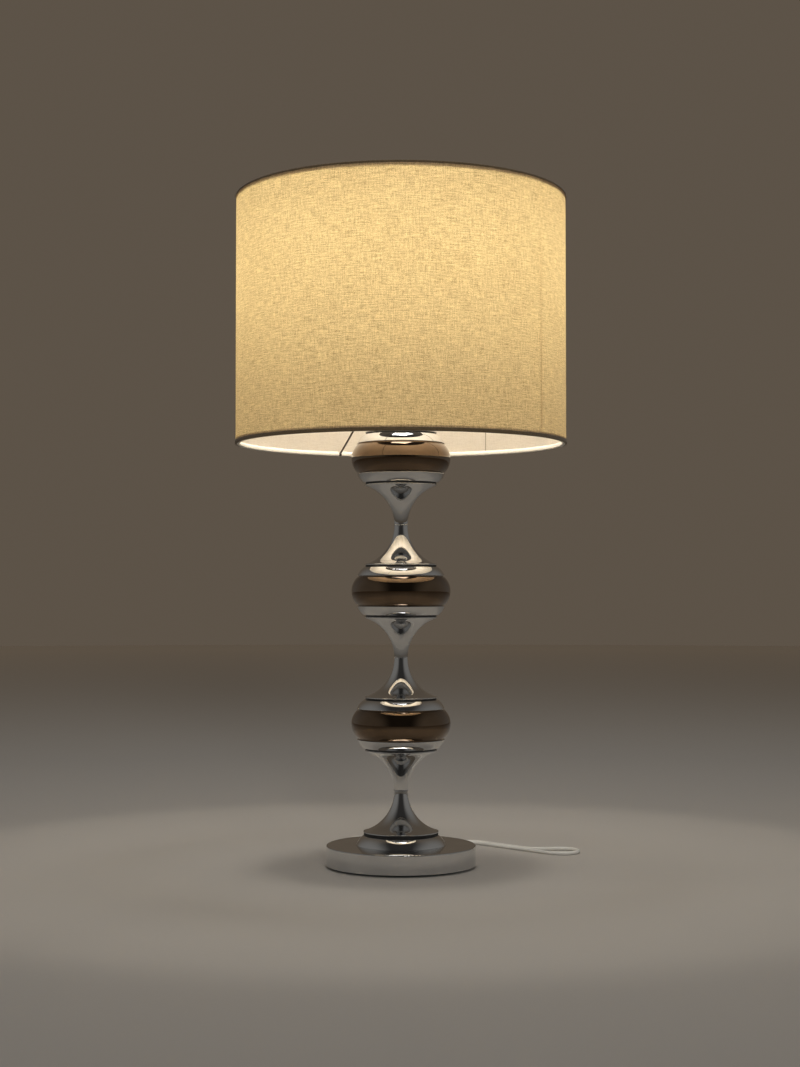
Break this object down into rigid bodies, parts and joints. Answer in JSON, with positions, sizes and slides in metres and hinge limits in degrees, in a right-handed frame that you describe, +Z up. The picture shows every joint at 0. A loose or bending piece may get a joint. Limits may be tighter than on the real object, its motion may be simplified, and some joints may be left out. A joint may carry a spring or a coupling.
{
  "type": "table lamp",
  "caption": "Tall table lamp: stacked chrome trumpets and dark bronze bands on a weighted round base, with a lit linen drum shade, a corded plug and a switched lampholder.",
  "frame": {"origin": "middle of the underside of the felt pad, on the surface the lamp stands on", "axes": "+Z up along the column; +X to the right and +Y to the rear, away from the viewer"},
  "size_m": [0.4268, 0.4008, 0.8085],
  "materials": {
    "chrome": "polished chrome plate",
    "bronze": "glossy dark bronze",
    "felt": "pressed felt",
    "iron": "raw casting",
    "zinc": "zinc plated",
    "gasket": "matt",
    "cord": "white vinyl sheath",
    "tie": "moulded tie",
    "plug": "moulded white plastic",
    "pin_metal": "nickel plated brass",
    "bakelite": "moulded bakelite",
    "switch_white": "moulded",
    "porcelain": "glazed",
    "brass": "bright",
    "bulb": "frosted, lit",
    "wire": "lacquered wire",
    "linen": "woven linen, lit from inside",
    "lining": "white laminate",
    "binding": "linen rolled over the wire ring"
  },
  "bodies": {
    "lamp": {"felt_pad": "felt", "base_cover": "chrome", "base_weight": "iron", "bottom_washer": "zinc", "bottom_nut": "zinc", "centre_tube": "zinc", "base_shoulder": "chrome", "base_gasket": "gasket", "base_trumpet": "chrome", "neck_ring_1": "chrome", "neck_ring_2": "chrome", "neck_ring_3": "chrome", "lower_trumpet_1": "chrome", "lower_gasket_1": "gasket", "lower_shoulder_1": "chrome", "band_1": "bronze", "upper_shoulder_1": "chrome", "upper_gasket_1": "gasket", "upper_trumpet_1": "chrome", "lower_trumpet_2": "chrome", "lower_gasket_2": "gasket", "lower_shoulder_2": "chrome", "band_2": "bronze", "upper_shoulder_2": "chrome", "upper_gasket_2": "gasket", "upper_trumpet_2": "chrome", "lower_trumpet_3": "chrome", "lower_gasket_3": "gasket", "lower_shoulder_3": "chrome", "band_3": "bronze", "upper_shoulder_3": "chrome", "upper_gasket_3": "gasket", "upper_trumpet_3": "chrome", "inner_lead": "cord", "cord_bushing": "cord", "cord_run": "cord", "cord_coil": "cord", "cord_tie": "tie", "cord_tail": "cord", "plug_body": "plug", "plug_pins": "pin_metal", "holder_cap": "bakelite", "holder_insert": "porcelain", "screw_shell": "brass", "holder_shell": "bakelite", "lower_shade_ring": "bakelite"},
    "shade": {"shade_hub": "wire", "shade_spokes": "wire", "shade_bottom_ring": "wire", "shade_top_ring": "wire", "shade_fabric": "linen", "shade_lining": "lining", "top_binding": "binding", "bottom_binding": "binding"},
    "shade_ring": {"upper_shade_ring": "bakelite"},
    "bulb": {"bulb_cap": "zinc", "bulb_glass": "bulb"},
    "switch": {"switch_bar": "switch_white"}
  },
  "joints": [
    {"name": "shade_turn", "type": "hinge", "parent": "lamp", "child": "shade", "pos_m": [0, 0, 0.6085], "axis": [0, 0, 1], "continuous": true},
    {"name": "shade_ring_turn", "type": "hinge", "parent": "lamp", "child": "shade_ring", "pos_m": [0, 0, 0.6116], "axis": [0, 0, 1], "continuous": true},
    {"name": "bulb_turn", "type": "hinge", "parent": "lamp", "child": "bulb", "pos_m": [0, 0, 0.62], "axis": [0, 0, 1], "continuous": true},
    {"name": "switch_slide", "type": "slide", "parent": "lamp", "child": "switch", "axis": [-1, 0, 0], "range_m": [0, 0.006]}
  ]
}
